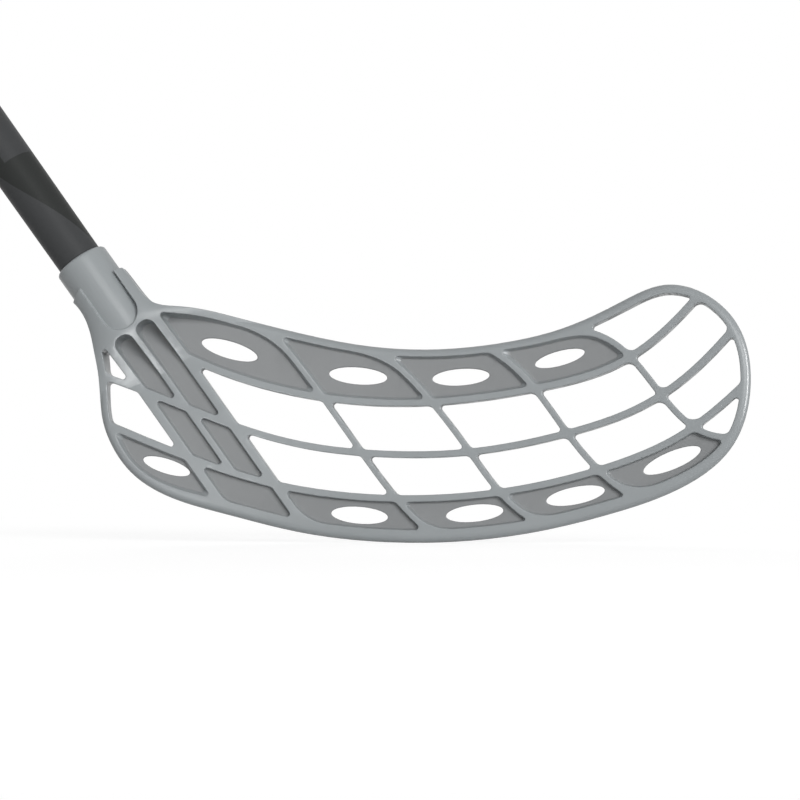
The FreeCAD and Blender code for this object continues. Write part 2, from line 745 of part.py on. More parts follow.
# Turned pieces, each a profile spun round the piece's own axis
def turned(label, profile):
    """Body of revolution; each corner of its profile is a radius and a height, as sums of sizes."""
    body = doc.addObject("PartDesign::Body", label + "_body")
    plane = next(item for item in body.Origin.OriginFeatures if item.Role == "XZ_Plane")
    sketch = body.newObject("Sketcher::SketchObject", label + "_profile")
    sketch.AttachmentSupport = (plane, [""])
    sketch.MapMode = "FlatFace"
    corners = [Vector(total(radius), total(height), 0) for radius, height in profile]
    count = len(corners)
    for number in range(count):
        sketch.addGeometry(Part.LineSegment(corners[number], corners[(number + 1) % count]), False)
    for number in range(count):
        sketch.addConstraint(Sketcher.Constraint("Coincident", number, 2, (number + 1) % count, 1))
    for number, (radius, height) in enumerate(profile):
        for kind, axis, formula in (("DistanceX", -2, radius), ("DistanceY", -1, height)):
            if formula == "0":
                sketch.addConstraint(Sketcher.Constraint("PointOnObject", number, 1, axis))
                continue
            place = sketch.addConstraint(Sketcher.Constraint(kind, -1, 1, number, 1, total(formula)))
            sketch.setExpression("Constraints[%d]" % place, cells(formula))
    spin = body.newObject("PartDesign::Revolution", label + "_spin")
    spin.Profile = sketch
    spin.ReferenceAxis = (sketch, ["V_Axis"])
    spin.Angle = 360
    sketch.Visibility = False
    body.Label = label
    doc.recompute()
    return body


shaft_place = FreeCAD.Placement(socket_floor, shaft_turn)
taper_end = "socket_depth + taper_length"
shaft_body = turned("shaft_tube", [
    ("shaft_tip_radius - shaft_wall", "0"),
    ("shaft_tip_radius", "0"),
    ("shaft_tip_radius", "socket_depth"),
    ("shaft_radius", taper_end),
    ("shaft_radius", "shaft_length"),
    ("shaft_radius - shaft_wall", "shaft_length"),
    ("shaft_radius - shaft_wall", taper_end),
    ("shaft_tip_radius - shaft_wall", "socket_depth"),
])
shaft_body.Placement = shaft_place
shaft = join("Cut", "shaft", shaft_body, screw_hole)
shaft.Label = "shaft"

glue_body = turned("glue_sleeve", [
    ("shaft_tip_radius", "0"),
    ("shaft_tip_radius + glue_gap", "0"),
    ("shaft_tip_radius + glue_gap", "socket_depth"),
    ("shaft_tip_radius", "socket_depth"),
])
glue_body.Placement = shaft_place
glue_film = join("Cut", "glue_film", glue_body, screw_hole)
glue_film.Label = "glue_film"

screw = turned("blade_screw", [
    ("0", "0"),
    ("screw_radius", "screw_point"),
    ("screw_radius", "screw_length"),
    ("screw_head_radius", "screw_length"),
    ("screw_head_radius", "screw_length + screw_head_height"),
    ("0", "screw_length + screw_head_height"),
])
screw_tip = screw_axis_point + Vector(0, head_seat - size("screw_length"), 0)
screw.Placement = FreeCAD.Placement(screw_tip, outward)

cap = turned("butt_cap", [
    ("0", "shaft_length - cap_plug_length"),
    ("shaft_radius - shaft_wall - fit_clearance", "shaft_length - cap_plug_length"),
    ("shaft_radius - shaft_wall - fit_clearance", "shaft_length"),
    ("shaft_radius", "shaft_length"),
    ("shaft_radius", "shaft_length + cap_flange"),
    ("0", "shaft_length + cap_flange"),
])
cap_top = total("shaft_length + cap_flange")
cap_edge = [
    "Edge%d" % number for number, edge in enumerate(cap.Tip.Shape.Edges, start=1)
    if edge.isClosed() and abs(edge.CenterOfMass.z - cap_top) < 0.001
]
cap_spin = cap.Tip
cap_rounding = cap.newObject("PartDesign::Fillet", "cap_rounding")
cap_rounding.Base = (cap_spin, cap_edge)
bind(cap_rounding, Radius="cap_round")
cap.Placement = shaft_place

grip_foot = "shaft_length - grip_length"
grip_top = "shaft_length + grip_cap_cover"
tape_top = grip_foot + " + tape_width"
grip = turned("grip_wrap", [
    ("shaft_radius + fit_clearance", grip_foot),
    ("shaft_radius + fit_clearance + grip_foot_wall", grip_foot),
    ("shaft_radius + fit_clearance + grip_wall", tape_top),
    ("shaft_radius + fit_clearance + grip_wall", grip_top),
    ("shaft_radius + fit_clearance", grip_top),
])
grip.Placement = shaft_place

tape_low = "shaft_radius + fit_clearance"
tape_step = "shaft_radius + fit_clearance + grip_foot_wall + fit_clearance"
tape_high = "shaft_radius + fit_clearance + grip_wall + fit_clearance"
tape = turned("finish_tape", [
    (tape_low, grip_foot + " - tape_width"),
    (tape_low + " + tape_wall", grip_foot + " - tape_width"),
    (tape_step + " + tape_wall", grip_foot + " - fit_clearance"),
    (tape_high + " + tape_wall", tape_top),
    (tape_high, tape_top),
    (tape_step, grip_foot + " - fit_clearance"),
    (tape_low, grip_foot + " - fit_clearance"),
])
tape.Placement = shaft_place
doc.recompute()

# Every object has to be sound before anything is written
for item in doc.Objects:
    if "Invalid" in item.State or "Error" in item.State:
        raise RuntimeError("failed object: " + item.Name)
os.makedirs("parts", exist_ok=True)
pieces = [blade, shaft, glue_film, screw, cap, grip, tape]
for piece in pieces:
    if piece.Shape.isNull() or not piece.Shape.isValid():
        raise RuntimeError("unsound shape: " + piece.Label)
for piece in pieces:
    piece.Shape.exportStep("parts/%s.step" % piece.Label)
    print(piece.Label, len(piece.Shape.Solids), round(piece.Shape.Volume / 1000, 2), "cm3")
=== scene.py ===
"""Floorball stick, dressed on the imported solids: every piece in metres, in the solids' own frame."""
import json
import math

import bmesh
import bpy
import numpy as np
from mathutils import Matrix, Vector


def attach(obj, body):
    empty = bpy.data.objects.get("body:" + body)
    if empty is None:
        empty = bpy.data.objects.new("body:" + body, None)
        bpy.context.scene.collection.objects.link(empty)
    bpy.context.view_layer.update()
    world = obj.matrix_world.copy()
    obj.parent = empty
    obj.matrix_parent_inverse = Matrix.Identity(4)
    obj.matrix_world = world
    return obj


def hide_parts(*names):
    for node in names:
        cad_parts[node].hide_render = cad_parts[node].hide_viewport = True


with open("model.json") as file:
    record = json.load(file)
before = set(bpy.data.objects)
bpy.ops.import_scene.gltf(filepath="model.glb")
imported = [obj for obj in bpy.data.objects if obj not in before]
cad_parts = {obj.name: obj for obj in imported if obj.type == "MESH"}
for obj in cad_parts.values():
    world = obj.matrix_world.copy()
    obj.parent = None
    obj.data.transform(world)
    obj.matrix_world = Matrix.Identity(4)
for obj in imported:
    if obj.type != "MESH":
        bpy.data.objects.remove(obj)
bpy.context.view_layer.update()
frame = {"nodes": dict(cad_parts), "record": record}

mounts = {mount["name"]: mount for mount in frame["record"]["mounts"]}


# Blade. One injection moulding in satin grey plastic: openwork lattice, thin pierced webs, beaded rim
# and the hosel that takes the shaft. The tool leaves every edge softly rounded and a fine spark-eroded
# grain on the faces; the thin floors are etched duller than the ribs, and painted a darker grey for
# the shade that falls in the recesses.
BLADE_GREY = (0.318, 0.340, 0.350)
WEB_SHADE_GREY = (0.255, 0.263, 0.268)
BLADE_MERGE = 1e-6
BLADE_VOXEL = 0.00026
BLADE_RELAX = 0.5
BLADE_PASSES = 5
BLADE_TRUE = 0.00008
BLADE_TRIANGLES = 190000
HOOK_RADIUS = 0.760
HOOK_START = -0.0665
WEB_HALF = 0.0010
WEB_TONE_TOP = 0.0006
WEB_TONE_FADE = 0.0004
RIB_ROUGHNESS = 0.28
WEB_ROUGHNESS = 0.58
GRAIN_ROUGHNESS = 0.08
BLADE_SPECULAR = 0.28
BLADE_DRIFT = (0.97, 1.03)


def new_material(name):
    """Empty node material with its shader and a short way to add and join nodes."""
    material = bpy.data.materials.new(name)
    material.use_nodes = True
    tree = material.node_tree
    shader = tree.nodes["Principled BSDF"]

    def add(kind, **settings):
        node = tree.nodes.new("ShaderNode" + kind)
        for key, value in settings.items():
            if key in node.inputs:
                node.inputs[key].default_value = value
            else:
                setattr(node, key, value)
        return node

    return material, shader, add, tree.links.new


def moulded_blade():
    """Rounded copy of the blade's solid: doubles merged, refilled as even cells and relaxed, which rounds
    the edges. Points that moved less than half of BLADE_TRUE are then set back on the solid, fading to
    none at the whole of it. Its "web" attribute is 1 on the thin floors, where the distance to the hooked
    middle surface, y = sqrt(R^2 - x^2) - R from the hook's start, is least."""
    source = frame["nodes"]["blade"]
    blade = bpy.data.objects.new("blade_moulding", source.data.copy())
    bpy.context.scene.collection.objects.link(blade)
    shell = bmesh.new()
    shell.from_mesh(blade.data)
    bmesh.ops.remove_doubles(shell, verts=shell.verts, dist=BLADE_MERGE)
    shell.to_mesh(blade.data)
    shell.free()
    refill = blade.modifiers.new("refill", "REMESH")
    refill.mode = "VOXEL"
    refill.voxel_size = BLADE_VOXEL
    relax = blade.modifiers.new("relax", "SMOOTH")
    relax.factor = BLADE_RELAX
    relax.iterations = BLADE_PASSES
    depsgraph = bpy.context.evaluated_depsgraph_get()
    count = len(blade.evaluated_get(depsgraph).data.polygons) * 2
    thin = blade.modifiers.new("thin", "DECIMATE")
    thin.ratio = min(1.0, BLADE_TRIANGLES / count)
    depsgraph = bpy.context.evaluated_depsgraph_get()
    finished = bpy.data.meshes.new_from_object(blade.evaluated_get(depsgraph))
    blade.modifiers.clear()
    blade.data = finished
    blade.data.materials.clear()
    blade.data.polygons.foreach_set("use_smooth", np.ones(len(finished.polygons), bool))
    place = np.empty(len(finished.vertices) * 3, np.float32)
    finished.vertices.foreach_get("co", place)
    true = blade.modifiers.new("true", "SHRINKWRAP")
    true.target = source
    true.wrap_method = "NEAREST_SURFACEPOINT"
    depsgraph = bpy.context.evaluated_depsgraph_get()
    wrapped = np.empty_like(place)
    blade.evaluated_get(depsgraph).data.vertices.foreach_get("co", wrapped)
    blade.modifiers.clear()
    back = (wrapped - place).reshape(-1, 3)
    share = np.clip((BLADE_TRUE - np.linalg.norm(back, axis=1)) / BLADE_TRUE * 2, 0, 1)
    place = place.reshape(-1, 3) + back * share[:, None]
    finished.vertices.foreach_set("co", place.ravel())
    finished.update()
    x, y = place.T[:2]
    past = np.maximum(x - HOOK_START, 0)
    off_middle = np.abs(y + HOOK_RADIUS - np.sqrt(HOOK_RADIUS ** 2 - past ** 2))
    floor = np.clip((WEB_HALF + WEB_TONE_TOP - off_middle) / WEB_TONE_FADE, 0, 1)
    web = finished.attributes.new("web", "FLOAT", "POINT")
    web.data.foreach_set("value", floor.astype(np.float32))
    return blade


def blade_plastic():
    """Satin grey moulding with a fine eroded grain and a slow tone drift; the thin floors are etched
    duller than the ribs and painted a darker, slightly warmer grey for the shade in the recesses."""
    material, shader, add, join = new_material("satin_grey_moulding")
    place = add("TexCoord")
    drift = add("TexNoise", Scale=26.0, Detail=3.0)
    grain = add("TexNoise", Scale=2600.0, Detail=2.0, Roughness=0.6)
    join(place.outputs["Object"], drift.inputs["Vector"])
    join(place.outputs["Object"], grain.inputs["Vector"])
    web = add("Attribute", attribute_name="web")
    face = add("MixRGB")
    face.inputs["Color1"].default_value = (*BLADE_GREY, 1)
    # Painted shade: the thin floors get a darker grey that stands for the shade in the recesses.
    face.inputs["Color2"].default_value = (*WEB_SHADE_GREY, 1)
    join(web.outputs["Fac"], face.inputs["Fac"])
    shade = add("MapRange")
    shade.inputs["From Min"].default_value = 0.3
    shade.inputs["From Max"].default_value = 0.7
    shade.inputs["To Min"].default_value = BLADE_DRIFT[0]
    shade.inputs["To Max"].default_value = BLADE_DRIFT[1]
    join(drift.outputs["Fac"], shade.inputs["Value"])
    tone = add("VectorMath", operation="SCALE")
    join(face.outputs["Color"], tone.inputs["Vector"])
    join(shade.outputs["Result"], tone.inputs["Scale"])
    join(tone.outputs["Vector"], shader.inputs["Base Color"])
    dull = add("MapRange")
    dull.inputs["To Min"].default_value = RIB_ROUGHNESS
    dull.inputs["To Max"].default_value = WEB_ROUGHNESS
    join(web.outputs["Fac"], dull.inputs["Value"])
    gloss = add("Math", operation="MULTIPLY_ADD")
    gloss.inputs[1].default_value = GRAIN_ROUGHNESS
    join(grain.outputs["Fac"], gloss.inputs[0])
    join(dull.outputs["Result"], gloss.inputs[2])
    join(gloss.outputs["Value"], shader.inputs["Roughness"])
    bump = add("Bump", Strength=0.02, Distance=0.00005)
    join(grain.outputs["Fac"], bump.inputs["Height"])
    join(bump.outputs["Normal"], shader.inputs["Normal"])
    shader.inputs["Specular IOR Level"].default_value = BLADE_SPECULAR
    return material


blade = moulded_blade()
blade.data.materials.append(blade_plastic())
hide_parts("blade")
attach(blade, "root")


# Shaft. A tapered tube of fibre laminate under a matt lacquer, charcoal with a plain lighter facet that
# winds off the hosel and a plain panel above it. The slim end sits in the hosel.
SHAFT_LENGTH = 0.960
SHAFT_TIP = 0.0100
SHAFT_WIDE = 0.0130
SHAFT_WALL = 0.0015
SHAFT_SOCKET = 0.032
SHAFT_TAPER = 0.520
SHAFT_EDGE = 0.0002
SHAFT_DARK = (0.034, 0.036, 0.035)
SHAFT_LIGHT = (0.060, 0.062, 0.064)
SHAFT_COLUMNS = 96
SHAFT_SPACING = 0.008
SKIN_MERGE = 1e-7
SKIN_SHARP = 40
CAP_FLANGE = 0.004
FRONT_TURN = 0.25
FACET_TURN = 0.29
FACET_START = 0.035
FACET_CLIMB = 7.2
FACET_SOFT = 0.004
PANEL_FOOT = 0.084
PANEL_TOP = 0.600
PANEL_OFF = 0.035
PANEL_HALF = 0.24
PANEL_END_SOFT = 0.0002
PANEL_SIDE_SOFT = 0.002
TWILL_ALONG = 2600.0
TWILL_AROUND = 251.33
TWILL_SHARE = 0.10
LACQUER_ROUGHNESS = (0.38, 0.50)
LACQUER_SPECULAR = 0.08
shaft_up = np.array(mounts["grip"]["axis"])
shaft_foot = np.array(mounts["butt_end"]["pos_m"]) - shaft_up * (SHAFT_LENGTH + CAP_FLANGE)
shaft_side = np.cross((0, 1, 0), shaft_up)


def around(foot, up, side, height, radius, turn):
    """Points foot + up h + r (side cos t + front sin t), t in turns, for whole arrays h, r and t."""
    angle = 2 * math.pi * turn[..., None]
    spoke = side * np.cos(angle) + np.cross(side, up) * np.sin(angle)
    return foot + up * height[..., None] + spoke * radius[..., None]


def skin(name, points, uv, closed):
    """Mesh over a grid of points. A closed direction joins its last line to its first, and the uv grid
    has one line more there, so that the seam keeps its full width."""
    rows, columns = points.shape[:2]
    row, column = np.meshgrid(
        np.arange(rows - (not closed[0])), np.arange(columns - (not closed[1])), indexing="ij")
    row = np.stack([row, row + 1, row + 1, row], axis=-1).reshape(-1, 4)
    column = np.stack([column, column, column + 1, column + 1], axis=-1).reshape(-1, 4)
    faces = (row % rows) * columns + column % columns
    mesh = bpy.data.meshes.new(name)
    mesh.from_pydata(points.reshape(-1, 3).tolist(), [], faces.tolist())
    mesh.uv_layers.new(name="skin").data.foreach_set("uv", uv[row, column].ravel().astype(np.float32))
    shell = bmesh.new()
    shell.from_mesh(mesh)
    bmesh.ops.remove_doubles(shell, verts=shell.verts, dist=SKIN_MERGE)
    bmesh.ops.holes_fill(shell, edges=shell.edges)
    shell.to_mesh(mesh)
    shell.free()
    mesh.shade_smooth()
    mesh.set_sharp_from_angle(angle=math.radians(SKIN_SHARP))
    piece = bpy.data.objects.new(name, mesh)
    bpy.context.scene.collection.objects.link(piece)
    return piece


def unrolled(lines, columns):
    """uv grid of a spun skin: the turn, and one value for each line of its profile."""
    turns = np.arange(columns + 1) / columns
    return np.stack(np.meshgrid(lines, turns, indexing="ij")[::-1], axis=-1)


def spun(name, axis, corners, spacing, columns):
    """Profile spun round an axis (foot, up, side). The profile runs up the outside and back inside, each
    side of it cut into steps of about one spacing. uv is the turn and the height in metres."""
    corners = np.array(corners)
    ends = np.roll(corners, -1, axis=0)
    steps = np.ceil(np.linalg.norm(ends - corners, axis=1) / spacing).astype(int)
    profile = np.concatenate([
        start + (end - start) * np.arange(count)[:, None] / count
        for start, end, count in zip(corners, ends, steps)])
    radius, turn = np.meshgrid(profile[:, 0], np.arange(columns) / columns, indexing="ij")
    height = np.repeat(profile[:, 1:], columns, axis=1)
    points = around(*axis, height, radius, turn)
    heights = np.append(profile[:, 1], profile[0, 1])
    return skin(name, points, unrolled(heights, columns), (True, True))


def laminate():
    """Lacquered charcoal laminate: faint twill, one facet edge that climbs as it turns, one panel."""
    material, shader, add, join = new_material("lacquered_laminate")
    place = add("UVMap")
    split = add("SeparateXYZ")
    join(place.outputs["UV"], split.inputs["Vector"])

    def math_node(kind, first, second=0.0, third=0.0):
        node = add("Math", operation=kind)
        for socket, value in zip(node.inputs, (first, second, third)):
            if isinstance(value, (int, float)):
                socket.default_value = value
            else:
                join(value, socket)
        return node.outputs["Value"]

    def ramp(value, low, high):
        node = add("MapRange", interpolation_type="SMOOTHSTEP")
        node.inputs["From Min"].default_value = low
        node.inputs["From Max"].default_value = high
        join(value, node.inputs["Value"])
        return node.outputs["Result"]

    def strand(lean):
        phase = math_node("MULTIPLY", turn, lean)
        return math_node("SINE", math_node("MULTIPLY_ADD", height, TWILL_ALONG, phase))

    turn = math_node("FRACT", math_node("ADD", split.outputs["X"], FRONT_TURN))
    height = split.outputs["Y"]
    edge = math_node("MULTIPLY_ADD", height, FACET_CLIMB, FACET_TURN - FACET_CLIMB * FACET_START)
    facet = ramp(math_node("SUBTRACT", turn, edge), -FACET_SOFT, FACET_SOFT)
    foot = ramp(height, PANEL_FOOT - PANEL_END_SOFT, PANEL_FOOT + PANEL_END_SOFT)
    top = ramp(height, PANEL_TOP + PANEL_END_SOFT, PANEL_TOP - PANEL_END_SOFT)
    rise = math_node("MULTIPLY", foot, top)
    off = math_node("ABSOLUTE", math_node("SUBTRACT", turn, FRONT_TURN + PANEL_OFF))
    side = ramp(off, PANEL_HALF + PANEL_SIDE_SOFT, PANEL_HALF - PANEL_SIDE_SOFT)
    panel = math_node("MULTIPLY", rise, side)
    light = math_node("MAXIMUM", facet, panel)
    weave = math_node("MULTIPLY", strand(TWILL_AROUND), strand(-TWILL_AROUND))
    twill = math_node("MULTIPLY_ADD", weave, TWILL_SHARE, light)
    tone = add("ValToRGB")
    tone.color_ramp.elements[0].color = (*SHAFT_DARK, 1)
    tone.color_ramp.elements[1].color = (*SHAFT_LIGHT, 1)
    join(twill, tone.inputs["Fac"])
    join(tone.outputs["Color"], shader.inputs["Base Color"])
    peel = add("TexNoise", Scale=900.0, Detail=1.0)
    spot = add("TexCoord")
    join(spot.outputs["Object"], peel.inputs["Vector"])
    gloss = add("MapRange")
    gloss.inputs["To Min"].default_value = LACQUER_ROUGHNESS[0]
    gloss.inputs["To Max"].default_value = LACQUER_ROUGHNESS[1]
    join(peel.outputs["Fac"], gloss.inputs["Value"])
    join(gloss.outputs["Result"], shader.inputs["Roughness"])
    bump = add("Bump", Strength=0.01, Distance=0.0001)
    join(peel.outputs["Fac"], bump.inputs["Height"])
    join(bump.outputs["Normal"], shader.inputs["Normal"])
    shader.inputs["Specular IOR Level"].default_value = LACQUER_SPECULAR
    return material


shaft_axis = (shaft_foot, shaft_up, shaft_side)
shaft = spun("shaft_tube", shaft_axis, [
    (SHAFT_TIP - SHAFT_WALL, 0),
    (SHAFT_TIP - SHAFT_EDGE, 0),
    (SHAFT_TIP, SHAFT_EDGE),
    (SHAFT_TIP, SHAFT_SOCKET),
    (SHAFT_WIDE, SHAFT_SOCKET + SHAFT_TAPER),
    (SHAFT_WIDE, SHAFT_LENGTH),
    (SHAFT_WIDE - SHAFT_WALL, SHAFT_LENGTH),
    (SHAFT_WIDE - SHAFT_WALL, SHAFT_SOCKET + SHAFT_TAPER),
    (SHAFT_TIP - SHAFT_WALL, SHAFT_SOCKET),
], SHAFT_SPACING, SHAFT_COLUMNS)
shaft.data.materials.append(laminate())
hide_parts("shaft")
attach(shaft, "root")


# Glue film. Black epoxy squeezed into the narrow gap between the shaft and the socket; only its ring at
# the mouth is ever seen, slightly uneven and glossy, with a few trapped bubbles.
GLUE_BLACK = (0.020, 0.020, 0.021)
GLUE_BUBBLE = (0.075, 0.072, 0.066)
GLUE_ROUGHNESS = 0.18


def epoxy():
    """Dark glossy resin with pale specks where air was trapped."""
    material, shader, add, join = new_material("black_epoxy")
    place = add("TexCoord")
    bubble = add("TexVoronoi", Scale=700.0)
    flow = add("TexNoise", Scale=180.0, Detail=2.0)
    join(place.outputs["Object"], bubble.inputs["Vector"])
    join(place.outputs["Object"], flow.inputs["Vector"])
    tone = add("ValToRGB")
    tone.color_ramp.elements[0].position = 0.10
    tone.color_ramp.elements[0].color = (*GLUE_BUBBLE, 1)
    tone.color_ramp.elements[1].position = 0.22
    tone.color_ramp.elements[1].color = (*GLUE_BLACK, 1)
    join(bubble.outputs["Distance"], tone.inputs["Fac"])
    join(tone.outputs["Color"], shader.inputs["Base Color"])
    bump = add("Bump", Strength=0.3, Distance=0.0001)
    join(flow.outputs["Fac"], bump.inputs["Height"])
    join(bump.outputs["Normal"], shader.inputs["Normal"])
    shader.inputs["Roughness"].default_value = GLUE_ROUGHNESS
    return material


glue = frame["nodes"]["glue_film"]
glue.data.materials.clear()
glue.data.materials.append(epoxy())


# Blade screw. A zinc-plated screw driven through the backhand side of the hosel into the shaft: pan head
# with a cross recess, cut thread and a turned point. Only the head shows.
SCREW_HEAD = 0.0030
SCREW_HEAD_HEIGHT = 0.0018
SCREW_SHANK = 0.0015
SCREW_LENGTH = 0.0080
SCREW_POINT = 0.0020
SCREW_PITCH = 0.0010
SCREW_THREAD = 0.0003
SCREW_TIP_Y = 0.00325
SCREW_DEPTH = 0.012
SCREW_ROUND = 0.0007
SCREW_COLUMNS = 72
CROSS_ARM = 0.0019
CROSS_HALF = 0.00038
CROSS_EDGE = 0.00012
CROSS_DEPTH = 0.0011
ZINC = (0.56, 0.56, 0.54)
ZINC_DULL = 0.7
ZINC_ROUGHNESS = 0.34


def screw_form():
    """Profile rows from the point to the middle of the head, by turn. The thread takes a saw-tooth of
    SCREW_THREAD off the shank: r - d |2 frac(h / pitch - t) - 1|. The cross goes down by a smooth step of
    the distance to its nearer arm."""
    point = np.linspace(0, SCREW_POINT, 10)
    shank = np.linspace(SCREW_POINT, SCREW_LENGTH, 49)[1:]
    rim = np.linspace(0, math.pi / 2, 8)
    face = np.linspace(1, 0, 26)[1:]
    flat = SCREW_HEAD - SCREW_ROUND
    radius = np.concatenate([
        point / SCREW_POINT * SCREW_SHANK, np.full(shank.size, SCREW_SHANK),
        [SCREW_HEAD, SCREW_HEAD], flat + SCREW_ROUND * np.cos(rim[1:]), flat * face])
    top = SCREW_LENGTH + SCREW_HEAD_HEIGHT
    side = top - SCREW_ROUND
    height = np.concatenate([
        point, shank, [SCREW_LENGTH, side],
        side + SCREW_ROUND * np.sin(rim[1:]), np.full(face.size, top)])
    radius, turn = np.meshgrid(radius, np.arange(SCREW_COLUMNS) / SCREW_COLUMNS, indexing="ij")
    height = np.repeat(height[:, None], SCREW_COLUMNS, axis=1)
    saw = np.abs(2 * ((height / SCREW_PITCH - turn) % 1) - 1)
    on_shank = height < SCREW_LENGTH - SCREW_PITCH / 2
    radius = np.where(on_shank, np.maximum(radius - SCREW_THREAD * saw, 0), radius)
    across = radius * np.cos(2 * math.pi * turn)
    along = radius * np.sin(2 * math.pi * turn)
    near = np.minimum(np.abs(across), np.abs(along))
    far = np.maximum(np.abs(across), np.abs(along))
    arm = np.clip((CROSS_HALF + CROSS_EDGE - near) / (2 * CROSS_EDGE), 0, 1)
    reach = np.clip((CROSS_ARM - far) / (CROSS_ARM * 0.5), 0, 1)
    sink = CROSS_DEPTH * arm * arm * (3 - 2 * arm) * reach
    height = np.where(height >= top - 1e-9, height - sink, height)
    foot = shaft_foot + shaft_up * SCREW_DEPTH + np.array((0, SCREW_TIP_Y, 0))
    points = around(foot, np.array((0, 1.0, 0)), shaft_up, height, radius, turn)
    uv = unrolled(np.arange(points.shape[0]) / points.shape[0], SCREW_COLUMNS)
    return skin("blade_screw_threaded", points, uv, (False, True))


def zinc_plate():
    """Bright zinc with turned rings and dull passivated patches."""
    material, shader, add, join = new_material("zinc_plate")
    place = add("TexCoord")
    dull = add("TexNoise", Scale=900.0, Detail=3.0)
    rings = add("TexWave", wave_type="RINGS", rings_direction="Y", Scale=1800.0, Distortion=0.6)
    join(place.outputs["Object"], dull.inputs["Vector"])
    join(place.outputs["Object"], rings.inputs["Vector"])
    tone = add("ValToRGB")
    tone.color_ramp.elements[0].position = 0.3
    tone.color_ramp.elements[0].color = (*[c * ZINC_DULL for c in ZINC], 1)
    tone.color_ramp.elements[1].position = 0.7
    tone.color_ramp.elements[1].color = (*ZINC, 1)
    join(dull.outputs["Fac"], tone.inputs["Fac"])
    join(tone.outputs["Color"], shader.inputs["Base Color"])
    bump = add("Bump", Strength=0.15, Distance=0.00003)
    join(rings.outputs["Fac"], bump.inputs["Height"])
    join(bump.outputs["Normal"], shader.inputs["Normal"])
    shader.inputs["Metallic"].default_value = 1.0
    shader.inputs["Roughness"].default_value = ZINC_ROUGHNESS
    return material


screw = screw_form()
screw.data.materials.append(zinc_plate())
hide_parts("blade_screw")
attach(screw, "root")


# Butt cap. A black plastic plug pressed into the upper end; its flange closes the tube and has a domed
# edge, one plain ring round the top and a gate dimple in the middle.
CAP_PLUG = 0.022
CAP_FIT = 0.0001
CAP_ROUND = 0.0018
CAP_CHAMFER = 0.0006
RING_RADIUS = 0.0085
RING_HALF = 0.0006
RING_DEEP = 0.0004
DIMPLE_HALF = 0.0012
DIMPLE_DEEP = 0.0005
CAP_BLACK = (0.018, 0.018, 0.019)
CAP_SCUFF = 2.2
CAP_ROUGHNESS = (0.42, 0.60)


def cap_form():
    """Profile from the plug's foot round the flange to the middle of the top, where the ring and the
    dimple are taken out of the height by cosine dips: h - d (1 + cos(pi x / w)) / 2 within w of each."""
    top = SHAFT_LENGTH + CAP_FLANGE
    plug = SHAFT_WIDE - SHAFT_WALL - CAP_FIT
    bend = np.linspace(0, math.pi / 2, 10)
    face = np.linspace(SHAFT_WIDE - CAP_ROUND, 0, 60)[1:]
    foot = SHAFT_LENGTH - CAP_PLUG
    radius = np.concatenate([
        [0, plug - CAP_CHAMFER, plug, plug, SHAFT_WIDE],
        SHAFT_WIDE - CAP_ROUND * (1 - np.cos(bend)), face])
    height = np.concatenate([
        [foot, foot, foot + CAP_CHAMFER, SHAFT_LENGTH, SHAFT_LENGTH],
        top - CAP_ROUND * (1 - np.sin(bend)), np.full(face.size, top)])
    for middle, half, deep in ((RING_RADIUS, RING_HALF, RING_DEEP), (0.0, DIMPLE_HALF, DIMPLE_DEEP)):
        off = np.clip(np.abs(radius - middle) / half, 0, 1)
        height = height - np.where(height > top - 1e-5, deep * (1 + np.cos(math.pi * off)) / 2, 0)
    count = radius.size
    radius, turn = np.meshgrid(radius, np.arange(SHAFT_COLUMNS) / SHAFT_COLUMNS, indexing="ij")
    height = np.repeat(height[:, None], SHAFT_COLUMNS, axis=1)
    points = around(*shaft_axis, height, radius, turn)
    uv = unrolled(np.arange(count) / count, SHAFT_COLUMNS)
    return skin("butt_plug", points, uv, (False, True))


def cap_plastic():
    """Black moulded plastic with an eroded grain and paler scuffs."""
    material, shader, add, join = new_material("black_cap_plastic")
    place = add("TexCoord")
    grain = add("TexNoise", Scale=2200.0, Detail=2.0)
    scuff = add("TexNoise", Scale=160.0, Detail=5.0, Roughness=0.7)
    join(place.outputs["Object"], grain.inputs["Vector"])
    join(place.outputs["Object"], scuff.inputs["Vector"])
    tone = add("ValToRGB")
    tone.color_ramp.elements[0].position = 0.52
    tone.color_ramp.elements[0].color = (*CAP_BLACK, 1)
    tone.color_ramp.elements[1].position = 0.75
    tone.color_ramp.elements[1].color = (*[c * CAP_SCUFF for c in CAP_BLACK], 1)
    join(scuff.outputs["Fac"], tone.inputs["Fac"])
    join(tone.outputs["Color"], shader.inputs["Base Color"])
    gloss = add("MapRange")
    gloss.inputs["To Min"].default_value = CAP_ROUGHNESS[0]
    gloss.inputs["To Max"].default_value = CAP_ROUGHNESS[1]
    join(grain.outputs["Fac"], gloss.inputs["Value"])
    join(gloss.outputs["Result"], shader.inputs["Roughness"])
    bump = add("Bump", Strength=0.2, Distance=0.00006)
    join(grain.outputs["Fac"], bump.inputs["Height"])
    join(bump.outputs["Normal"], shader.inputs["Normal"])
    return material


cap = cap_form()
cap.data.materials.append(cap_plastic())
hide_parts("butt_cap")
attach(cap, "root")


# Grip wrap. One long strip of cushioned polyurethane wound up the shaft, each turn lapping a little over
# the one below, so a soft step winds up the grip. The strip is perforated and its face is tacky black.
GRIP_FOOT = 0.660
GRIP_TOP = 0.9622
GRIP_INNER = 0.0131
GRIP_OUTER = 0.0149
GRIP_FOOT_OUTER = 0.0137
GRIP_PARED = 0.020
GRIP_PITCH = 0.024
GRIP_STEP = 0.00055
STRIP_COLUMNS = 79
LIP_SHARES = (0.0, 0.002, 0.008, 0.018, 0.032)
LIP_DROPS = (0.8, 0.48, 0.232, 0.064, 0.0)
HOLES_PER_WIDTH = (8.0, 6.0, 0.0)
HOLE_EDGES = (0.16, 0.24)
HOLE_SHADE_BLACK = (0.004, 0.004, 0.004)
GRIP_BLACK = (0.024, 0.024, 0.025)
GRIP_ROUGHNESS = (0.42, 0.72)


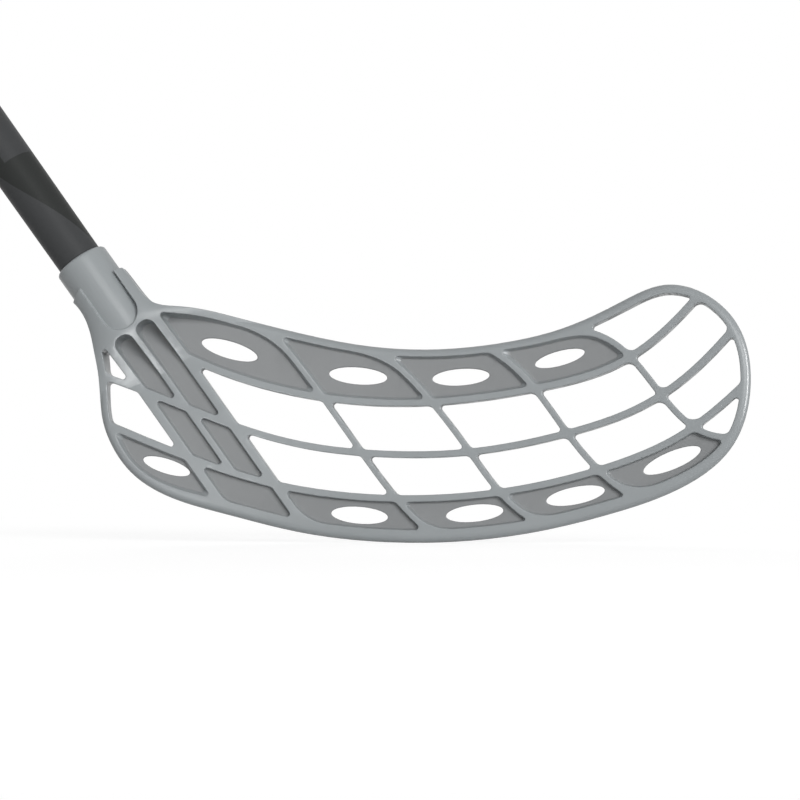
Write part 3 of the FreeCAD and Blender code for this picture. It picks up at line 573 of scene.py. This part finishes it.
def wound(name, low, high, pitch, step, inner, outer):
    """Strip wound round the shaft from low to high. At a share s across the strip, the turn t puts it at
    h = low + pitch (t - 1 + s), and its face lies at outer(h) - step s, with a rounded lip at s = 0. At
    both ends s is cut off where h leaves low to high. inner and outer are radii at a height. The columns
    don't divide a turn evenly, so that turns that touch share no points."""
    turns = (high - low) / pitch + 1
    turn = np.linspace(0, turns, int(turns * STRIP_COLUMNS) + 1)[:, None]
    face = np.concatenate([np.linspace(1, 0.05, 22), LIP_SHARES[::-1]])
    back = np.linspace(0, 1, 8)
    share = np.concatenate([face, back])[None, :]
    height = np.clip(low + pitch * (turn - 1 + share), low, high)
    count = face.size
    cut = np.clip(share[:, :count], 1 - turn, turns - turn)
    front = outer(height[:, :count]) - step * (cut + np.interp(cut, LIP_SHARES, LIP_DROPS))
    front = np.maximum(front, inner(height[:, :count]))
    radius = np.concatenate([front, inner(height[:, count:])], axis=1)
    points = around(*shaft_axis, height, radius, np.broadcast_to(turn, height.shape))
    length = 2 * math.pi * outer(np.array(high)) / pitch
    lines = np.append(share, share[0, 0])
    uv = np.stack(np.meshgrid(turn[:, 0] * length, lines, indexing="ij"), axis=-1)
    return skin(name, points, uv, (False, True))


def grip_inner(height):
    """Inside of the wrap, one radius all the way."""
    return np.full_like(height, GRIP_INNER)


def grip_outer(height):
    """Full thickness, pared to a thin end at the foot."""
    share = np.clip((height - GRIP_FOOT) / GRIP_PARED, 0, 1)
    return GRIP_FOOT_OUTER + (GRIP_OUTER - GRIP_FOOT_OUTER) * share


def cushion():
    """Black polyurethane: rows of small holes painted near black for the shade in them, pebbled skin,
    worn sheen.
    """
    material, shader, add, join = new_material("black_cushion")
    place = add("UVMap")
    spot = add("TexCoord")
    grid = add("VectorMath", operation="MULTIPLY")
    grid.inputs[1].default_value = HOLES_PER_WIDTH
    cell = add("VectorMath", operation="FRACTION")
    shift = add("VectorMath", operation="SUBTRACT")
    shift.inputs[1].default_value = (0.5, 0.5, 0.0)
    off = add("VectorMath", operation="LENGTH")
    join(place.outputs["UV"], grid.inputs[0])
    join(grid.outputs["Vector"], cell.inputs[0])
    join(cell.outputs["Vector"], shift.inputs[0])
    join(shift.outputs["Vector"], off.inputs[0])
    hole = add("MapRange", interpolation_type="SMOOTHSTEP")
    hole.inputs["From Min"].default_value = HOLE_EDGES[0]
    hole.inputs["From Max"].default_value = HOLE_EDGES[1]
    join(off.outputs["Value"], hole.inputs["Value"])
    tone = add("ValToRGB")
    # Painted shade: the holes are coloured near black for the shade inside them.
    tone.color_ramp.elements[0].color = (*HOLE_SHADE_BLACK, 1)
    tone.color_ramp.elements[1].color = (*GRIP_BLACK, 1)
    join(hole.outputs["Result"], tone.inputs["Fac"])
    join(tone.outputs["Color"], shader.inputs["Base Color"])
    pebble = add("TexVoronoi", Scale=1500.0)
    join(spot.outputs["Object"], pebble.inputs["Vector"])
    worn = add("TexNoise", Scale=70.0, Detail=4.0)
    join(spot.outputs["Object"], worn.inputs["Vector"])
    gloss = add("MapRange")
    gloss.inputs["To Min"].default_value = GRIP_ROUGHNESS[0]
    gloss.inputs["To Max"].default_value = GRIP_ROUGHNESS[1]
    join(worn.outputs["Fac"], gloss.inputs["Value"])
    join(gloss.outputs["Result"], shader.inputs["Roughness"])
    fine = add("Bump", Strength=0.25, Distance=0.00008)
    join(pebble.outputs["Distance"], fine.inputs["Height"])
    deep = add("Bump", Strength=0.8, Distance=0.0004)
    join(hole.outputs["Result"], deep.inputs["Height"])
    join(fine.outputs["Normal"], deep.inputs["Normal"])
    join(deep.outputs["Normal"], shader.inputs["Normal"])
    return material


grip = wound("grip_strip", GRIP_FOOT, GRIP_TOP, GRIP_PITCH, GRIP_STEP, grip_inner, grip_outer)
grip.data.materials.append(cushion())
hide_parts("grip_wrap")
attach(grip, "root")


# Finish tape. A narrow black vinyl tape wound over the pared foot of the wrap and onto the shaft; its
# edges show as fine steps and its face has the small creases of stretched vinyl.
TAPE_LOW = 0.640
TAPE_HIGH = 0.680
TAPE_PITCH = 0.0125
TAPE_STEP = 0.00014
TAPE_HEIGHTS = (TAPE_LOW, 0.6599, TAPE_HIGH)
TAPE_OUTSIDE = (0.0135, 0.0142, 0.0154)
TAPE_INSIDE = (0.0131, 0.0138, 0.0150)
TAPE_BLACK = (0.014, 0.014, 0.015)
TAPE_CREASE = 1.8
TAPE_ROUGHNESS = 0.36


def tape_outer(height):
    """Outside of the tape, which follows the pared foot of the wrap."""
    return np.interp(height, TAPE_HEIGHTS, TAPE_OUTSIDE)


def tape_inner(height):
    """Inside of the tape, on the wrap and the shaft."""
    return np.interp(height, TAPE_HEIGHTS, TAPE_INSIDE)


def vinyl():
    """Smooth black vinyl with creases drawn along the tape."""
    material, shader, add, join = new_material("black_vinyl")
    place = add("UVMap")
    draw = add("Mapping")
    draw.inputs["Scale"].default_value = (3.0, 26.0, 1.0)
    crease = add("TexNoise", Scale=1.0, Detail=4.0)
    join(place.outputs["UV"], draw.inputs["Vector"])
    join(draw.outputs["Vector"], crease.inputs["Vector"])
    tone = add("ValToRGB")
    tone.color_ramp.elements[0].position = 0.35
    tone.color_ramp.elements[0].color = (*TAPE_BLACK, 1)
    tone.color_ramp.elements[1].position = 0.75
    tone.color_ramp.elements[1].color = (*[c * TAPE_CREASE for c in TAPE_BLACK], 1)
    join(crease.outputs["Fac"], tone.inputs["Fac"])
    join(tone.outputs["Color"], shader.inputs["Base Color"])
    bump = add("Bump", Strength=0.2, Distance=0.0001)
    join(crease.outputs["Fac"], bump.inputs["Height"])
    join(bump.outputs["Normal"], shader.inputs["Normal"])
    shader.inputs["Roughness"].default_value = TAPE_ROUGHNESS
    return material


tape = wound("finish_tape_wound", TAPE_LOW, TAPE_HIGH, TAPE_PITCH, TAPE_STEP, tape_inner, tape_outer)
tape.data.materials.append(vinyl())
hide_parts("finish_tape")
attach(tape, "root")


# Studio: a white sweep that takes the shadow, one broad soft lamp in front and a little to the right, a
# weaker one behind, two cards that only show as reflections, and the camera at the photographed height
# and distance.
SWEEP_NEAR = 0.25
SWEEP_FAR = 0.90
SWEEP_SHARE = 0.82
SWEEP_LIFT = 2.1
SWEEP_GREY = 0.6
SWEEP_REACH = 6.0
LAMP_AIM = (0, 0, 0.06)
WORLD_FILL = 0.18
CAMERA_LENS = 70.02
CAMERA_SENSOR = 36.0
CAMERA_PLACE = (-0.0065, -0.676, 0.0189)
CAMERA_AIM = (-0.0065, 0, 0.0619)


def seen_rays(tree):
    """1 on rays from the camera, in reflections and through clear things, 0 on the light that surfaces
    throw about: the largest of the three marks."""
    path = tree.nodes.new("ShaderNodeLightPath")
    mark = path.outputs["Is Camera Ray"]
    for kind in ("Is Glossy Ray", "Is Transmission Ray"):
        larger = tree.nodes.new("ShaderNodeMath")
        larger.operation = "MAXIMUM"
        tree.links.new(mark, larger.inputs[0])
        tree.links.new(path.outputs[kind], larger.inputs[1])
        mark = larger.outputs["Value"]
    return mark


def studio_floor():
    """White floor, plain for the light that it throws back. The camera and reflections see white, mixed
    near the object with the floor's own shading, lifted so that only a shadow falls below white."""
    material, shader, add, join = new_material("white_sweep")
    shader.inputs["Base Color"].default_value = (SWEEP_GREY, SWEEP_GREY, SWEEP_GREY, 1)
    shader.inputs["Roughness"].default_value = 1.0
    place = add("TexCoord")
    off = add("VectorMath", operation="LENGTH")
    join(place.outputs["Object"], off.inputs[0])
    share = add("MapRange", interpolation_type="SMOOTHSTEP")
    share.inputs["From Min"].default_value = SWEEP_NEAR
    share.inputs["From Max"].default_value = SWEEP_FAR
    share.inputs["To Min"].default_value = SWEEP_SHARE
    share.inputs["To Max"].default_value = 1.0
    join(off.outputs["Value"], share.inputs["Value"])
    white = add("Emission", Color=(1, 1, 1, 1), Strength=1.0)
    shaded = add("BsdfDiffuse", Color=(SWEEP_LIFT, SWEEP_LIFT, SWEEP_LIFT, 1))
    shown = add("MixShader")
    join(share.outputs["Result"], shown.inputs["Fac"])
    join(shaded.outputs["BSDF"], shown.inputs[1])
    join(white.outputs["Emission"], shown.inputs[2])
    mix = add("MixShader")
    join(seen_rays(material.node_tree), mix.inputs["Fac"])
    join(shader.outputs["BSDF"], mix.inputs[1])
    join(shown.outputs["Shader"], mix.inputs[2])
    join(mix.outputs["Shader"], material.node_tree.nodes["Material Output"].inputs["Surface"])
    return material


sweep_mesh = bpy.data.meshes.new("sweep")
sweep_ends = ((-1, -1), (1, -1), (1, 1), (-1, 1))
sweep_mesh.from_pydata([(x * SWEEP_REACH, y * SWEEP_REACH, 0) for x, y in sweep_ends], [], [(0, 1, 2, 3)])
sweep_mesh.materials.append(studio_floor())
sweep = bpy.data.objects.new("sweep", sweep_mesh)
bpy.context.scene.collection.objects.link(sweep)


def soft_lamp(name, place, aim, width, height, power):
    """Area lamp at a place, turned to a point."""
    lamp = bpy.data.lights.new(name, "AREA")
    lamp.shape = "RECTANGLE"
    lamp.size = width
    lamp.size_y = height
    lamp.energy = power
    holder = bpy.data.objects.new(name, lamp)
    holder.location = place
    holder.rotation_euler = (Vector(aim) - Vector(place)).to_track_quat("-Z", "Y").to_euler()
    holder.visible_camera = False
    bpy.context.scene.collection.objects.link(holder)
    return holder


soft_lamp("front_box", (1.0, -2.6, 0.75), LAMP_AIM, 1.6, 1.3, 66.0)
back_box = soft_lamp("back_box", (-0.5, 2.6, 0.6), LAMP_AIM, 1.6, 1.3, 40.0)
back_box.visible_glossy = False
toe_strip = soft_lamp("toe_strip", (0.40, -0.15, 0.07), (0.14, -0.03, 0.06), 0.05, 0.25, 2.2)
toe_strip.visible_diffuse = False
neck_card = soft_lamp("neck_card", (-0.11, -0.16, 0.004), (-0.11, -0.16, 1.0), 0.07, 0.12, 0.5)
neck_card.visible_diffuse = False

world = bpy.data.worlds.new("studio")
world.use_nodes = True
bpy.context.scene.world = world
tree = world.node_tree
fill = tree.nodes["Background"]
fill.inputs["Color"].default_value = (1, 1, 1, 1)
fill.inputs["Strength"].default_value = WORLD_FILL
seen = tree.nodes.new("ShaderNodeBackground")
seen.inputs["Color"].default_value = (1, 1, 1, 1)
seen.inputs["Strength"].default_value = 1.0
mix = tree.nodes.new("ShaderNodeMixShader")
tree.links.new(seen_rays(tree), mix.inputs["Fac"])
tree.links.new(fill.outputs["Background"], mix.inputs[1])
tree.links.new(seen.outputs["Background"], mix.inputs[2])
tree.links.new(mix.outputs["Shader"], tree.nodes["World Output"].inputs["Surface"])

lens = bpy.data.cameras.new("camera")
lens.lens = CAMERA_LENS
lens.sensor_width = CAMERA_SENSOR
camera = bpy.data.objects.new("camera", lens)
camera.location = CAMERA_PLACE
camera.rotation_euler = (Vector(CAMERA_AIM) - Vector(CAMERA_PLACE)).to_track_quat("-Z", "Y").to_euler()
bpy.context.scene.collection.objects.link(camera)
bpy.context.scene.camera = camera
bpy.context.scene.view_settings.view_transform = "Standard"
